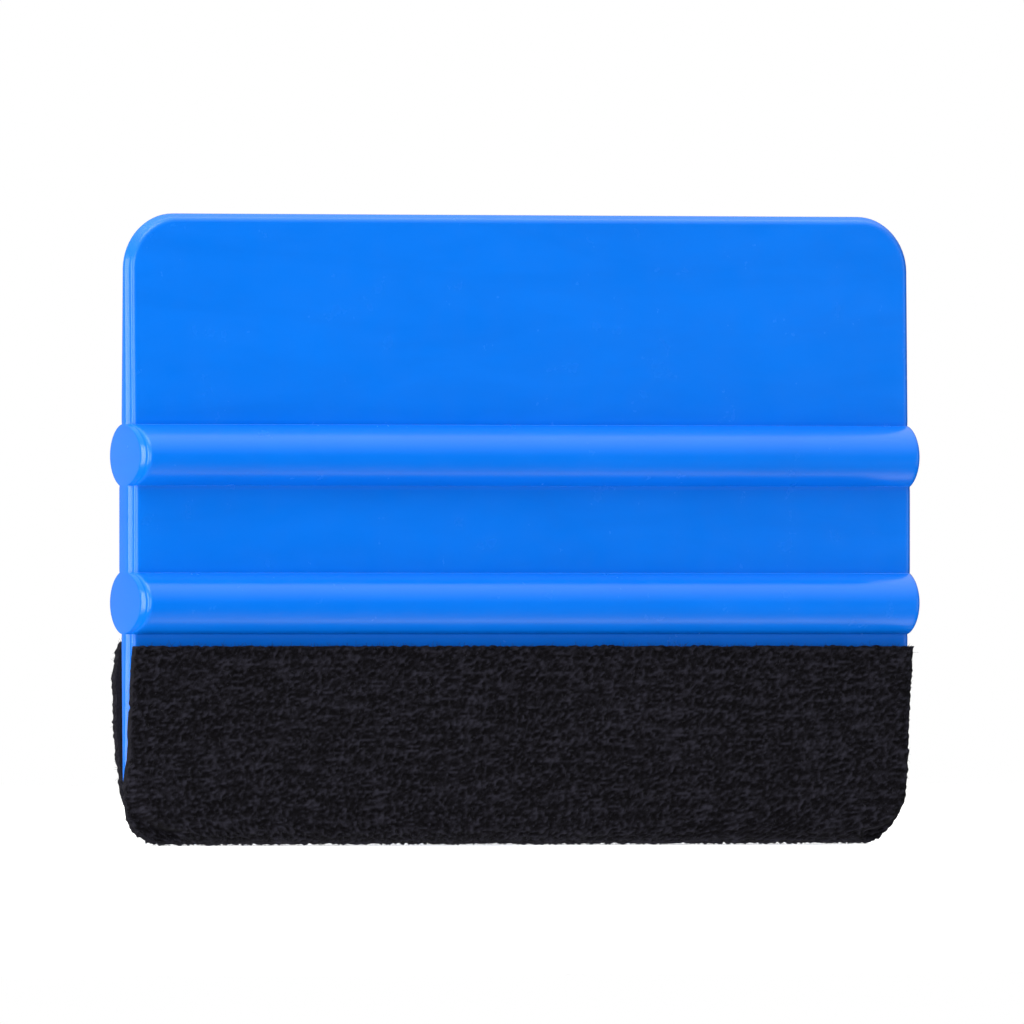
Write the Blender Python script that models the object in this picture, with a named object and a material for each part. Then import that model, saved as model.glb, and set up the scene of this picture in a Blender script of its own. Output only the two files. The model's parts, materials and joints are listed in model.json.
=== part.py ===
"""Felt-edged hand squeegee: a ribbed plastic card with a felt strip over its working edge.

Units are metres. The card stands on its felt edge: X runs along the card, Y through its
thickness with the front at -Y, and Z from the working edge up to the bare top edge. The lowest
point of the felt is at Z = 0.
"""

import math

import bmesh
import bpy
import numpy as np

# Card outline
CARD_WIDTH = 0.1016
CARD_HEIGHT = 0.0714
CORNER_RADIUS = 0.0064

# Card section: two tapered blades, a flat grip land and two ribs that show on both faces
EDGE_THICKNESS = 0.0024
BLADE_ROOT_THICKNESS = 0.0032
LAND_THICKNESS = 0.0044
RIB_THICKNESS = 0.0105
RIB_WIDTH = 0.0069
RIB_SPACING = 0.0170
LOWER_RIB_HEIGHT = 0.0264
RIB_FILLET = 0.0005

# Rim round the card: a sloping step in from the side wall, then a rounded edge up to the face
RIM_STEP = 0.0004
RIM_SLOPE = 0.0005
EDGE_ROUNDING = 0.0006

# Felt strip and the tape on its back
FELT_THICKNESS = 0.0011
TAPE_THICKNESS = 0.0002
LAYER_GAP = 0.0002
FRONT_FELT_TO_RIB = 0.0015
REAR_FELT_TO_RIB = 0.0009
FELT_OVERHANG_TOP = 0.0004
FELT_OVERHANG_FOLD = 0.0002
FELT_CORNER_TIGHTER = 0.0014
TAPE_SETBACK = 0.0003

# Smoothness of the round stretches
CORNER_STEPS = 9
RIB_STEPS = 18
FILLET_STEPS = 4
ROUNDING_STEPS = 3
FOLD_STEPS = 6

UPPER_RIB_HEIGHT = LOWER_RIB_HEIGHT + RIB_SPACING
RIM_SHARE = min(1.0, 0.46 * EDGE_THICKNESS / (RIM_SLOPE + EDGE_ROUNDING))
RIM_WIDTH = RIM_SHARE * (RIM_STEP + EDGE_ROUNDING)
FELT_CORNER_RADIUS = CORNER_RADIUS - FELT_CORNER_TIGHTER
TAPE_OFFSET = LAYER_GAP
FELT_OFFSET = TAPE_OFFSET + TAPE_THICKNESS + LAYER_GAP
WRAP_DEPTH = FELT_OFFSET + FELT_THICKNESS

BLUE_PLASTIC = (0.006, 0.195, 0.880, 1.0)
BLACK_FELT = (0.010, 0.010, 0.014, 1.0)
CLEAR_TAPE = (0.780, 0.740, 0.620, 1.0)


def clear_scene():
    """Remove every object that the scene starts with."""
    for obj in list(bpy.data.objects):
        bpy.data.objects.remove(obj, do_unlink=True)


def material(name, color, roughness):
    """Make a plain Principled material."""
    made = bpy.data.materials.new(name)
    made.use_nodes = True
    made.diffuse_color = color
    shader = made.node_tree.nodes["Principled BSDF"]
    shader.inputs["Base Color"].default_value = color
    shader.inputs["Roughness"].default_value = roughness
    shader.inputs["Metallic"].default_value = 0.0
    return made


def rib_semi_axes():
    """Semi-axes of the rib's elliptical section, which is RIB_WIDTH wide where it meets the land."""
    across = RIB_THICKNESS / 2
    at_land = LAND_THICKNESS / RIB_THICKNESS
    return (RIB_WIDTH / 2) / math.sqrt(1 - at_land**2), across


def rib_reach(half_thickness):
    """How far from its centre line the rib's surface meets a face of this half thickness."""
    along, across = rib_semi_axes()
    return along * math.sqrt(1 - (half_thickness / across) ** 2)


def fillet(before, corner, after):
    """Points of a soft curve from before to after, drawn towards the corner between them."""
    shares = np.linspace(0, 1, FILLET_STEPS + 1)[:, None]
    start, middle, end = np.array(before), np.array(corner), np.array(after)
    return (1 - shares) ** 2 * start + 2 * shares * (1 - shares) * middle + shares**2 * end


def rib_points(center, below, above):
    """Section points (height, half thickness) of one rib and its fillets, from below it to above.

    below and above are the half thicknesses of the faces that the rib stands on.
    """
    along, across = rib_semi_axes()
    creases = (center - rib_reach(below), center + rib_reach(above))
    angles = []
    for crease, side in zip(creases, (-1, 1)):
        inner = crease - side * RIB_FILLET / 2
        angles.append(math.asin((inner - center) / along))
    sweep = np.linspace(angles[0], angles[1], RIB_STEPS + 1)
    crown = np.stack([center + along * np.sin(sweep), across * np.cos(sweep)], axis=1)
    lower = fillet((creases[0] - RIB_FILLET, below), (creases[0], below), crown[0])
    upper = fillet(crown[-1], (creases[1], above), (creases[1] + RIB_FILLET, above))
    return np.concatenate([lower[:-1], crown, upper[1:]])


def face_section():
    """Section of the front face as rows of height above the working edge and half thickness."""
    land = LAND_THICKNESS / 2
    root = BLADE_ROOT_THICKNESS / 2
    ribs = (rib_points(LOWER_RIB_HEIGHT, root, land), rib_points(UPPER_RIB_HEIGHT, land, root))
    edge = EDGE_THICKNESS / 2
    return np.concatenate([[(0.0, edge)], *ribs, [(CARD_HEIGHT, edge)]])


def half_thickness(height, section):
    """Half of the card's thickness at a height above its working edge."""
    return float(np.interp(height, section[:, 0], section[:, 1]))


def corner_inset(edge_distance, radius):
    """How far a rounded corner pulls the side in at this distance from the edge."""
    if edge_distance >= radius:
        return 0.0
    return radius - math.sqrt(radius**2 - (radius - edge_distance) ** 2)


def side_levels(section):
    """Heights at which the card's side is drawn: its corner arcs and the points of its section."""
    arc = np.linspace(0, math.pi / 2, CORNER_STEPS + 1)
    rise = CORNER_RADIUS * (1 - np.cos(arc))
    inside = section[1:-1, 0]
    return np.concatenate([rise, inside, (CARD_HEIGHT - rise)[::-1]])


def right_outline(levels):
    """Points (x, z) up the card's right side, with the outward direction at each."""
    rows = []
    for height in levels:
        edge = min(height, CARD_HEIGHT - height)
        x = CARD_WIDTH / 2 - corner_inset(edge, CORNER_RADIUS)
        center_x = CARD_WIDTH / 2 - CORNER_RADIUS
        center_z = min(max(height, CORNER_RADIUS), CARD_HEIGHT - CORNER_RADIUS)
        out_x, out_z = x - center_x, height - center_z
        length = math.hypot(out_x, out_z)
        rows.append((x, height, out_x / length, out_z / length))
    return rows


def rim_points():
    """Points (inset from the side, drop from the face) of the rim, from the wall to the face."""
    points = [(0.0, RIM_SLOPE + EDGE_ROUNDING)]
    for angle in np.linspace(0, math.pi / 2, ROUNDING_STEPS + 1):
        inset = RIM_STEP + EDGE_ROUNDING * (1 - math.cos(angle))
        points.append((inset, EDGE_ROUNDING * (1 - math.sin(angle))))
    return [(RIM_SHARE * inset, RIM_SHARE * drop) for inset, drop in points]


def card_loop(mesh, outline, inset, drop, section):
    """Add one ring of points round the card, moved in by inset and back from its face by drop.

    A drop of None puts the ring on the card's middle plane.
    """
    ring = []
    for side, rows in ((1, outline), (-1, outline[::-1])):
        for x, z, out_x, out_z in rows:
            height = z - inset * out_z
            y = 0.0 if drop is None else drop - half_thickness(height, section)
            ring.append(mesh.verts.new((side * (x - inset * out_x), y, height)))
    return ring


def bridge(mesh, first, second):
    """Join two rings of points with a band of quads."""
    count = len(first)
    for i in range(count):
        after = (i + 1) % count
        mesh.faces.new((first[i], first[after], second[after], second[i]))


def build_card():
    """Make the card: half of it in front of its middle plane, and a mirror for the rest."""
    section = face_section()
    outline = right_outline(side_levels(section))
    mesh = bmesh.new()
    rings = [card_loop(mesh, outline, 0.0, None, section)]
    for inset, drop in rim_points():
        rings.append(card_loop(mesh, outline, inset, drop, section))
    for first, second in zip(rings, rings[1:]):
        bridge(mesh, first, second)
    face = rings[-1]
    count = len(outline)
    for i in range(count - 1):
        mesh.faces.new((face[i], face[i + 1], face[2 * count - 2 - i], face[2 * count - 1 - i]))
    bmesh.ops.recalc_face_normals(mesh, faces=mesh.faces)
    card = add_object("card_body", mesh, material("blue_plastic", BLUE_PLASTIC, 0.35))
    mirror = card.modifiers.new("rear_half", "MIRROR")
    mirror.use_axis = (False, True, False)
    mirror.use_mirror_merge = True
    mirror.merge_threshold = 0.00001
    return card


def wrap_path(offset, front_top, rear_top, section):
    """Points (y, z) of a layer at this offset from the card: down its front, round, up its rear.

    The fold's radius is the rim's width plus the offset, so the layer clears the stepped rim.
    """
    arc_height = RIM_WIDTH
    arc_y = half_thickness(arc_height, section) - RIM_WIDTH
    radius = RIM_WIDTH + offset
    levels = CORNER_RADIUS * (1 - np.cos(np.linspace(0, math.pi / 2, CORNER_STEPS + 1)))
    levels = levels[levels > arc_height]
    path = []
    for height in (front_top, *levels[::-1]):
        path.append((-half_thickness(height, section) - offset, height))
    for angle in np.linspace(0, math.pi / 2, FOLD_STEPS + 1):
        path.append((-arc_y - radius * math.cos(angle), arc_height - radius * math.sin(angle)))
    for angle in np.linspace(math.pi / 2, 0, FOLD_STEPS + 1):
        path.append((arc_y + radius * math.cos(angle), arc_height - radius * math.sin(angle)))
    for height in (*levels, rear_top):
        path.append((half_thickness(height, section) + offset, height))
    return path


def wrap_half_width(height, top):
    """Half width of the felt at a height, with its overhang, its taper and its cut corners."""
    share = min(max(height / top, 0.0), 1.0)
    overhang = FELT_OVERHANG_FOLD + (FELT_OVERHANG_TOP - FELT_OVERHANG_FOLD) * share
    full = CARD_WIDTH / 2 + overhang
    return full - corner_inset(height + WRAP_DEPTH, FELT_CORNER_RADIUS)


def build_wrap(name, finish, offset, thickness, setback):
    """Make one layer folded over the working edge, as a closed strip with cut corners."""
    section = face_section()
    crease = LOWER_RIB_HEIGHT - rib_reach(BLADE_ROOT_THICKNESS / 2)
    front_top = crease - FRONT_FELT_TO_RIB - setback
    rear_top = crease - REAR_FELT_TO_RIB - setback
    inner = wrap_path(offset, front_top, rear_top, section)
    outer = wrap_path(offset + thickness, front_top, rear_top, section)
    mesh = bmesh.new()
    rings = []
    for (inner_y, inner_z), (outer_y, outer_z) in zip(inner, outer):
        width = wrap_half_width(outer_z, front_top) - setback
        corners = (
            (-width, inner_y, inner_z),
            (width, inner_y, inner_z),
            (width, outer_y, outer_z),
            (-width, outer_y, outer_z),
        )
        rings.append([mesh.verts.new(corner) for corner in corners])
    for first, second in zip(rings, rings[1:]):
        bridge(mesh, first, second)
    mesh.faces.new(rings[0])
    mesh.faces.new(rings[-1])
    bmesh.ops.recalc_face_normals(mesh, faces=mesh.faces)
    return add_object(name, mesh, finish)


def add_object(name, mesh, finish):
    """Turn a bmesh into a smooth-shaded object of this name and finish."""
    data = bpy.data.meshes.new(name)
    mesh.to_mesh(data)
    mesh.free()
    data.shade_smooth()
    data.set_sharp_from_angle(angle=math.radians(30))
    data.materials.append(finish)
    obj = bpy.data.objects.new(name, data)
    bpy.context.scene.collection.objects.link(obj)
    return obj


def main():
    """Build the card, the tape and the felt, and stand them on the felt's fold."""
    clear_scene()
    working_edge = bpy.data.objects.new("working_edge", None)
    working_edge.location = (0, 0, WRAP_DEPTH)
    bpy.context.scene.collection.objects.link(working_edge)
    felt = material("black_felt", BLACK_FELT, 0.95)
    tape = material("clear_tape", CLEAR_TAPE, 0.5)
    pieces = (
        build_card(),
        build_wrap("adhesive_tape", tape, TAPE_OFFSET, TAPE_THICKNESS, TAPE_SETBACK),
        build_wrap("felt_wrap", felt, FELT_OFFSET, FELT_THICKNESS, 0.0),
    )
    for piece in pieces:
        piece.parent = working_edge


main()
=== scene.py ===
"""Felt-edged hand squeegee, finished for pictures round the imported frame.

A moulded polypropylene card carries two grip ribs on each face. A strip of black felt is folded
over its working edge and held by a film of adhesive. Units are metres: X runs along the card, Y
through its thickness with the front at -Y, and Z up from the felt's fold.
"""

import json
import logging
import math
from dataclasses import dataclass, field
from enum import Enum

import bpy
import numpy as np
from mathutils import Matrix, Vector

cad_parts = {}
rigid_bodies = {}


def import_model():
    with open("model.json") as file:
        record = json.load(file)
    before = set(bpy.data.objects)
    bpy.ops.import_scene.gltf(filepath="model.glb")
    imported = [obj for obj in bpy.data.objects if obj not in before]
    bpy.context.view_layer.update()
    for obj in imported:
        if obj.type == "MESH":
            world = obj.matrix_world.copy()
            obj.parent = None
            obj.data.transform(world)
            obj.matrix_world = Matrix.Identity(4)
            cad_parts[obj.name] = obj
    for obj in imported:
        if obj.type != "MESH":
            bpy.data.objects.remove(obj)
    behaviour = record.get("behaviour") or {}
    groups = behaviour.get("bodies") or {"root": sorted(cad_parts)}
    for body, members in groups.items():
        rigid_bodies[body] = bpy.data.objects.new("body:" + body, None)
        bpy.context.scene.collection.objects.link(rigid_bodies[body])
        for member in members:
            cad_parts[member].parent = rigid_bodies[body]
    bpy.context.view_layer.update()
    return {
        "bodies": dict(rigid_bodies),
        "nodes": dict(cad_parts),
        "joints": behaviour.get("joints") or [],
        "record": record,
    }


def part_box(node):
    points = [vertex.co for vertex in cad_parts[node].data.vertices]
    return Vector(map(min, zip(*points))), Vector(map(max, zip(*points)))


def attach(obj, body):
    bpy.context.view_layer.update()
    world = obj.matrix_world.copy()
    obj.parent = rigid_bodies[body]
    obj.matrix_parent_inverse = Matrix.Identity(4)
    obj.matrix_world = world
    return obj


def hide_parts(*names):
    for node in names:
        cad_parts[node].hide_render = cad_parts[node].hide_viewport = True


LOG = logging.getLogger("squeegee")
MM = 0.001
FRONT_FLAP_SHORTER = 0.6 * MM
NO_TRIANGLES = np.empty((0, 3), int)
Row = tuple[float, ...]


class Slot(Enum):
    """The record's material slots."""

    CARD = "card_plastic"
    TAPE = "tape"
    FELT = "felt"


class Flap(Enum):
    """Which side of the card a flap of the folded strip lies on."""

    FRONT = -1
    REAR = 1


# ---- Small tools ----


def linear(code: str) -> tuple[float, float, float, float]:
    """Turn an sRGB hex colour into linear RGBA.

    Args:
        code: The colour as #rrggbb.

    Returns:
        Linear red, green and blue, and an alpha of 1.
    """
    parts = np.array([int(code[i : i + 2], 16) for i in (1, 3, 5)]) / 255
    low = parts / 12.92
    high = ((parts + 0.055) / 1.055) ** 2.4
    red, green, blue = np.where(parts <= 0.04045, low, high)
    return float(red), float(green), float(blue), 1.0


def smooth_step(share: np.ndarray) -> np.ndarray:
    """Ease from 0 to 1 as 3t² - 2t³, with t held between 0 and 1."""
    held = np.clip(share, 0.0, 1.0)
    return held * held * (3 - 2 * held)


def band_noise(
    rng: np.random.Generator,
    shape: tuple[int, int],
    spacing: float,
    wavelength: float,
    stretch: float = 1.0,
    width: float = 0.35,
) -> np.ndarray:
    """Make a random field whose waves are near one wavelength.

    The formula is white noise, times exp(-((k * wavelength - 1) / width)²) in the frequency
    plane, where k is the wave number with its part along the columns multiplied by stretch. The
    result is scaled to a deviation of 1.

    Args:
        rng: The seeded generator.
        shape: Rows and columns of the field.
        spacing: Distance between neighbouring points, in metres.
        wavelength: The main wavelength, in metres.
        stretch: How much longer the waves are along a row than across it.
        width: How far the wavelengths spread round the main one.

    Returns:
        The field, as rows by columns.
    """
    across = np.fft.fftfreq(shape[0], spacing)[:, None]
    along = np.fft.rfftfreq(shape[1], spacing)[None, :]
    number = np.hypot(across, along * stretch)
    keep = np.exp(-(((number * wavelength - 1) / width) ** 2))
    waves = np.fft.rfft2(rng.standard_normal(shape)) * keep
    made = np.fft.irfft2(waves, s=shape)
    return made / made.std()


def grid_quads(rows: int, columns: int, start: int, flip: bool) -> np.ndarray:
    """List the quads of a grid of points.

    Args:
        rows: How many rows of points.
        columns: How many points in a row.
        start: Index of the first point.
        flip: Turns the faces round.

    Returns:
        Point indices, four to a face.
    """
    index = start + np.arange(rows * columns).reshape(rows, columns)
    quads = np.stack([index[:-1, :-1], index[:-1, 1:], index[1:, 1:], index[1:, :-1]], axis=-1)
    quads = quads.reshape(-1, 4)
    return quads[:, ::-1] if flip else quads


def border_loop(rows: int, columns: int) -> np.ndarray:
    """List a grid's border points, up the last column, along the last row, and back.

    Args:
        rows: How many rows of points.
        columns: How many points in a row.

    Returns:
        Indices of the border points, each once.
    """
    index = np.arange(rows * columns).reshape(rows, columns)
    return np.concatenate(
        [index[:, -1], index[-1, -2::-1], index[-2::-1, 0], index[0, 1:-1]]
    )


def band_quads(first: np.ndarray, second: np.ndarray, flip: bool) -> np.ndarray:
    """Join two closed loops of as many points with a band of quads."""
    quads = np.stack([first, second, np.roll(second, -1), np.roll(first, -1)], axis=-1)
    return quads[:, ::-1] if flip else quads


def fan_triangles(fine: np.ndarray, coarse: np.ndarray, flip: bool) -> np.ndarray:
    """Join a fine closed loop to a coarse one that has a point at every few of its points.

    The first half of each stretch fans to the coarse point at its start, and the second half to
    the one at its end. One more triangle closes the gap between them.

    Args:
        fine: Indices of the fine loop.
        coarse: Indices of the coarse loop, whose count divides the fine one's.
        flip: Turns the faces round.

    Returns:
        Point indices, three to a face.
    """
    step = len(fine) // len(coarse)
    position = np.arange(len(fine))
    later = (position % step) >= step // 2
    apex = coarse[(position // step + later) % len(coarse)]
    fans = np.stack([fine, np.roll(fine, -1), apex], axis=-1)
    middle = fine[step // 2 :: step]
    gaps = np.stack([middle, np.roll(coarse, -1), coarse], axis=-1)
    triangles = np.concatenate([fans, gaps])
    return triangles[:, ::-1] if flip else triangles


def shell_faces(
    first: tuple[int, int], second: tuple[int, int], rings: int, flip: bool
) -> tuple[np.ndarray, np.ndarray]:
    """List the faces of a closed shell: a grid, loops carried round its border, and a grid.

    The points come in that order, and a loop has as many of them as the first grid's border.
    Where the second grid is coarser, a fan of triangles joins it to the last loop.

    Args:
        first: Rows and columns of the first grid.
        second: Rows and columns of the second grid.
        rings: How many loops lie between them.
        flip: Turns every face round.

    Returns:
        The quads and the fan's triangles.
    """
    border = border_loop(*first)
    starts = first[0] * first[1] + len(border) * np.arange(rings + 1)
    loops = [border, *(start + np.arange(len(border)) for start in starts[:-1])]
    closing = starts[-1] + border_loop(*second)
    triangles = NO_TRIANGLES
    if len(closing) == len(border):
        loops.append(closing)
    else:
        triangles = fan_triangles(loops[-1], closing, not flip)
    quads = [grid_quads(*first, 0, flip)]
    quads += [band_quads(a, b, flip) for a, b in zip(loops, loops[1:])]
    quads.append(grid_quads(*second, int(starts[-1]), not flip))
    return np.concatenate(quads), triangles


def mesh_piece(
    name: str,
    material: bpy.types.Material,
    points: np.ndarray,
    quads: np.ndarray,
    triangles: np.ndarray = NO_TRIANGLES,
) -> bpy.types.Object:
    """Put whole arrays into a smooth-shaded mesh object at the origin.

    Args:
        name: The piece's name.
        material: Its only material.
        points: Positions, three numbers to a point.
        quads: Point indices, four to a face.
        triangles: Point indices, three to a face.

    Returns:
        The new object.
    """
    mesh = bpy.data.meshes.new(name)
    mesh.vertices.add(len(points))
    mesh.vertices.foreach_set("co", points.astype(np.float32).ravel())
    corners = np.concatenate([quads.ravel(), triangles.ravel()]).astype(np.int32)
    mesh.loops.add(len(corners))
    mesh.loops.foreach_set("vertex_index", corners)
    starts = np.concatenate(
        [np.arange(len(quads)) * 4, len(quads) * 4 + np.arange(len(triangles)) * 3]
    ).astype(np.int32)
    mesh.polygons.add(len(starts))
    mesh.polygons.foreach_set("loop_start", starts)
    mesh.update(calc_edges=True)
    mesh.shade_smooth()
    mesh.materials.append(material)
    piece = bpy.data.objects.new(name, mesh)
    bpy.context.scene.collection.objects.link(piece)
    return piece


def add_node(
    tree: bpy.types.NodeTree,
    kind: str,
    settings: dict | None = None,
    links: dict | None = None,
) -> bpy.types.Node:
    """Add one node with its settings and links.

    Args:
        tree: The node tree.
        kind: The node's type name.
        settings: Properties by name, and socket values by socket name or number.
        links: Output sockets by the input socket that they feed.

    Returns:
        The new node.
    """
    node = tree.nodes.new(kind)
    for key, value in (settings or {}).items():
        if isinstance(key, str) and hasattr(node, key):
            setattr(node, key, value)
        else:
            node.inputs[key].default_value = value
    for key, source in (links or {}).items():
        tree.links.new(source, node.inputs[key])
    return node


def new_material(name: str) -> tuple[bpy.types.Material, bpy.types.Node]:
    """Make a node material with only its shader and output.

    Args:
        name: The material's name.

    Returns:
        The material and its Principled shader.
    """
    made = bpy.data.materials.new(name)
    made.use_nodes = True
    return made, made.node_tree.nodes["Principled BSDF"]


def put_facing(thing: bpy.types.Object, eye: Vector, target: Vector) -> None:
    """Put a light or a camera in the scene at a point, turned to face another.

    Args:
        thing: The light's or the camera's object.
        eye: Where it stands.
        target: The point that it faces.
    """
    thing.location = eye
    thing.rotation_mode = "QUATERNION"
    thing.rotation_quaternion = (target - eye).to_track_quat("-Z", "Y")
    bpy.context.scene.collection.objects.link(thing)


# ---- Finishes ----


@dataclass(frozen=True)
class SatinPolypropylene:
    """Injection-moulded polypropylene: a saturated blue with a soft, slightly hazy gloss."""

    body: str = "#026bd8"
    flow: str = "#046fde"
    flow_length: float = 22 * MM
    flow_height: float = 5 * MM
    flow_range: tuple[float, float] = (0.32, 0.68)
    scuff_size: float = 3 * MM
    scuff_range: tuple[float, float] = (0.3, 0.7)
    roughness: tuple[float, float] = (0.21, 0.28)
    texture_size: float = 0.35 * MM
    texture_depth: float = 0.003 * MM
    ior: float = 1.49
    specular: float = 0.39

    def material(self) -> bpy.types.Material:
        """Make the material.

        Slow flow marks change the colour and gloss slightly, and a fine spark-eroded mould
        texture breaks up the highlights. The texture's real grain is near 0.1 mm, and it is
        drawn at 0.35 mm so that it shows.

        Returns:
            The material.
        """
        made, shader = new_material("satin_moulded_polypropylene")
        tree = made.node_tree
        place = add_node(tree, "ShaderNodeTexCoord").outputs["Object"]
        stretch = (1 / self.flow_length, 1 / self.flow_length, 1 / self.flow_height)
        stretched = add_node(tree, "ShaderNodeMapping", {"Scale": stretch}, {"Vector": place})
        flow = add_node(
            tree,
            "ShaderNodeTexNoise",
            {"Scale": 1.0, "Detail": 4.0, "Roughness": 0.55, "Distortion": 0.6},
            {"Vector": stretched.outputs["Vector"]},
        )
        share = add_node(
            tree,
            "ShaderNodeMapRange",
            {"From Min": self.flow_range[0], "From Max": self.flow_range[1]},
            {"Value": flow.outputs["Fac"]},
        )
        colour = add_node(
            tree,
            "ShaderNodeMix",
            {"data_type": "RGBA", 6: linear(self.body), 7: linear(self.flow)},
            {0: share.outputs["Result"]},
        )
        scuffs = add_node(
            tree,
            "ShaderNodeTexNoise",
            {"Scale": 1 / self.scuff_size, "Detail": 5.0, "Roughness": 0.6},
            {"Vector": place},
        )
        names = ("From Min", "From Max", "To Min", "To Max")
        limits = dict(zip(names, self.scuff_range + self.roughness))
        gloss = add_node(tree, "ShaderNodeMapRange", limits, {"Value": scuffs.outputs["Fac"]})
        grain = add_node(
            tree,
            "ShaderNodeTexNoise",
            {"Scale": 1 / self.texture_size, "Detail": 2.0, "Roughness": 0.5},
            {"Vector": place},
        )
        bump = add_node(
            tree,
            "ShaderNodeBump",
            {"Strength": 1.0, "Distance": self.texture_depth},
            {"Height": grain.outputs["Fac"]},
        )
        tree.links.new(colour.outputs[2], shader.inputs["Base Color"])
        tree.links.new(gloss.outputs["Result"], shader.inputs["Roughness"])
        tree.links.new(bump.outputs["Normal"], shader.inputs["Normal"])
        shader.inputs["IOR"].default_value = self.ior
        shader.inputs["Specular IOR Level"].default_value = self.specular
        return made


@dataclass(frozen=True)
class BrushedFelt:
    """Needled polyester felt with a brushed face: black, with curled tips that catch light."""

    # Painted shade: the colour given to the pits between the tufts, darker than their tops.
    pit_shade: str = "#040305"
    tuft: str = "#282730"
    roughness: float = 0.92
    specular: float = 0.08
    sheen: float = 0.015
    fibre_size: float = 0.16 * MM
    fibre_depth: float = 0.10 * MM
    fibre_gain: float = 1.25
    fibre_shift: float = -0.66

    def material(self) -> bpy.types.Material:
        """Make the material.

        The colour follows the tufts' own height, kept on the mesh as an attribute, as painted
        shade: the pits between them are painted darkest. Finer fibres come from noise, drawn at
        0.16 mm where the real ones are near 0.03 mm.

        Returns:
            The material.
        """
        made, shader = new_material("brushed_polyester_felt")
        tree = made.node_tree
        place = add_node(tree, "ShaderNodeTexCoord").outputs["Object"]
        # The tufts' height, read as painted shade that darkens the pits.
        height = add_node(tree, "ShaderNodeAttribute", {"attribute_name": "tuft"})
        fibres = add_node(
            tree,
            "ShaderNodeTexNoise",
            {"Scale": 1 / self.fibre_size, "Detail": 3.0, "Roughness": 0.6, "Distortion": 1.2},
            {"Vector": place},
        ).outputs["Fac"]
        mixed = add_node(
            tree,
            "ShaderNodeMath",
            {"operation": "MULTIPLY_ADD", 1: self.fibre_gain, 2: self.fibre_shift},
            {0: fibres},
        )
        total = add_node(
            tree,
            "ShaderNodeMath",
            {"operation": "ADD", "use_clamp": True},
            {0: height.outputs["Fac"], 1: mixed.outputs["Value"]},
        )
        colour = add_node(
            tree,
            "ShaderNodeMix",
            {"data_type": "RGBA", 6: linear(self.pit_shade), 7: linear(self.tuft)},
            {0: total.outputs["Value"]},
        )
        bump = add_node(
            tree,
            "ShaderNodeBump",
            {"Strength": 0.8, "Distance": self.fibre_depth},
            {"Height": fibres},
        )
        tree.links.new(colour.outputs[2], shader.inputs["Base Color"])
        tree.links.new(bump.outputs["Normal"], shader.inputs["Normal"])
        shader.inputs["Roughness"].default_value = self.roughness
        shader.inputs["Sheen Weight"].default_value = self.sheen
        shader.inputs["Specular IOR Level"].default_value = self.specular
        return made


@dataclass(frozen=True)
class MottledFinish:
    """A surface of even gloss whose colour drifts between two close tones."""

    name: str
    low: str
    high: str
    waves: float
    detail: float
    roughness: float
    specular: float
    bump_depth: float = 0.0

    def material(self) -> bpy.types.Material:
        """Make the material from one noise, with its waves counted to a metre.

        Returns:
            The material.
        """
        made, shader = new_material(self.name)
        tree = made.node_tree
        place = add_node(tree, "ShaderNodeTexCoord").outputs["Object"]
        patches = add_node(
            tree,
            "ShaderNodeTexNoise",
            {"Scale": self.waves, "Detail": self.detail},
            {"Vector": place},
        ).outputs["Fac"]
        colour = add_node(
            tree,
            "ShaderNodeMix",
            {"data_type": "RGBA", 6: linear(self.low), 7: linear(self.high)},
            {0: patches},
        )
        tree.links.new(colour.outputs[2], shader.inputs["Base Color"])
        if self.bump_depth:
            bump = add_node(
                tree,
                "ShaderNodeBump",
                {"Strength": 0.5, "Distance": self.bump_depth},
                {"Height": patches},
            )
            tree.links.new(bump.outputs["Normal"], shader.inputs["Normal"])
        shader.inputs["Roughness"].default_value = self.roughness
        shader.inputs["Specular IOR Level"].default_value = self.specular
        return made


# Single polyester fibres pulled out of the felt: black, a little lighter or darker from fibre to
# fibre, with a faint gloss along them.
LOOSE_FIBRE = MottledFinish(
    name="loose_polyester_fibre",
    low="#131216",
    high="#2c2b31",
    waves=1 / (0.8 * MM),
    detail=2.0,
    roughness=0.7,
    specular=0.3,
)
# Acrylic transfer adhesive: a clear film that looks smoky grey on the back of black felt, and
# paler where it is thicker.
ADHESIVE = MottledFinish(
    name="acrylic_transfer_adhesive",
    low="#3b3c3d",
    high="#565654",
    waves=1 / (1.5 * MM),
    detail=3.0,
    roughness=0.35,
    specular=0.5,
    bump_depth=0.02 * MM,
)
# White painted board: matt and nearly white, with very slight roller marks.
PALE_BOARD = MottledFinish(
    name="white_painted_board",
    low="#f6f6f5",
    high="#fbfbfa",
    waves=12.0,
    detail=3.0,
    roughness=0.85,
    specular=0.2,
)


# ---- The card ----


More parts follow.
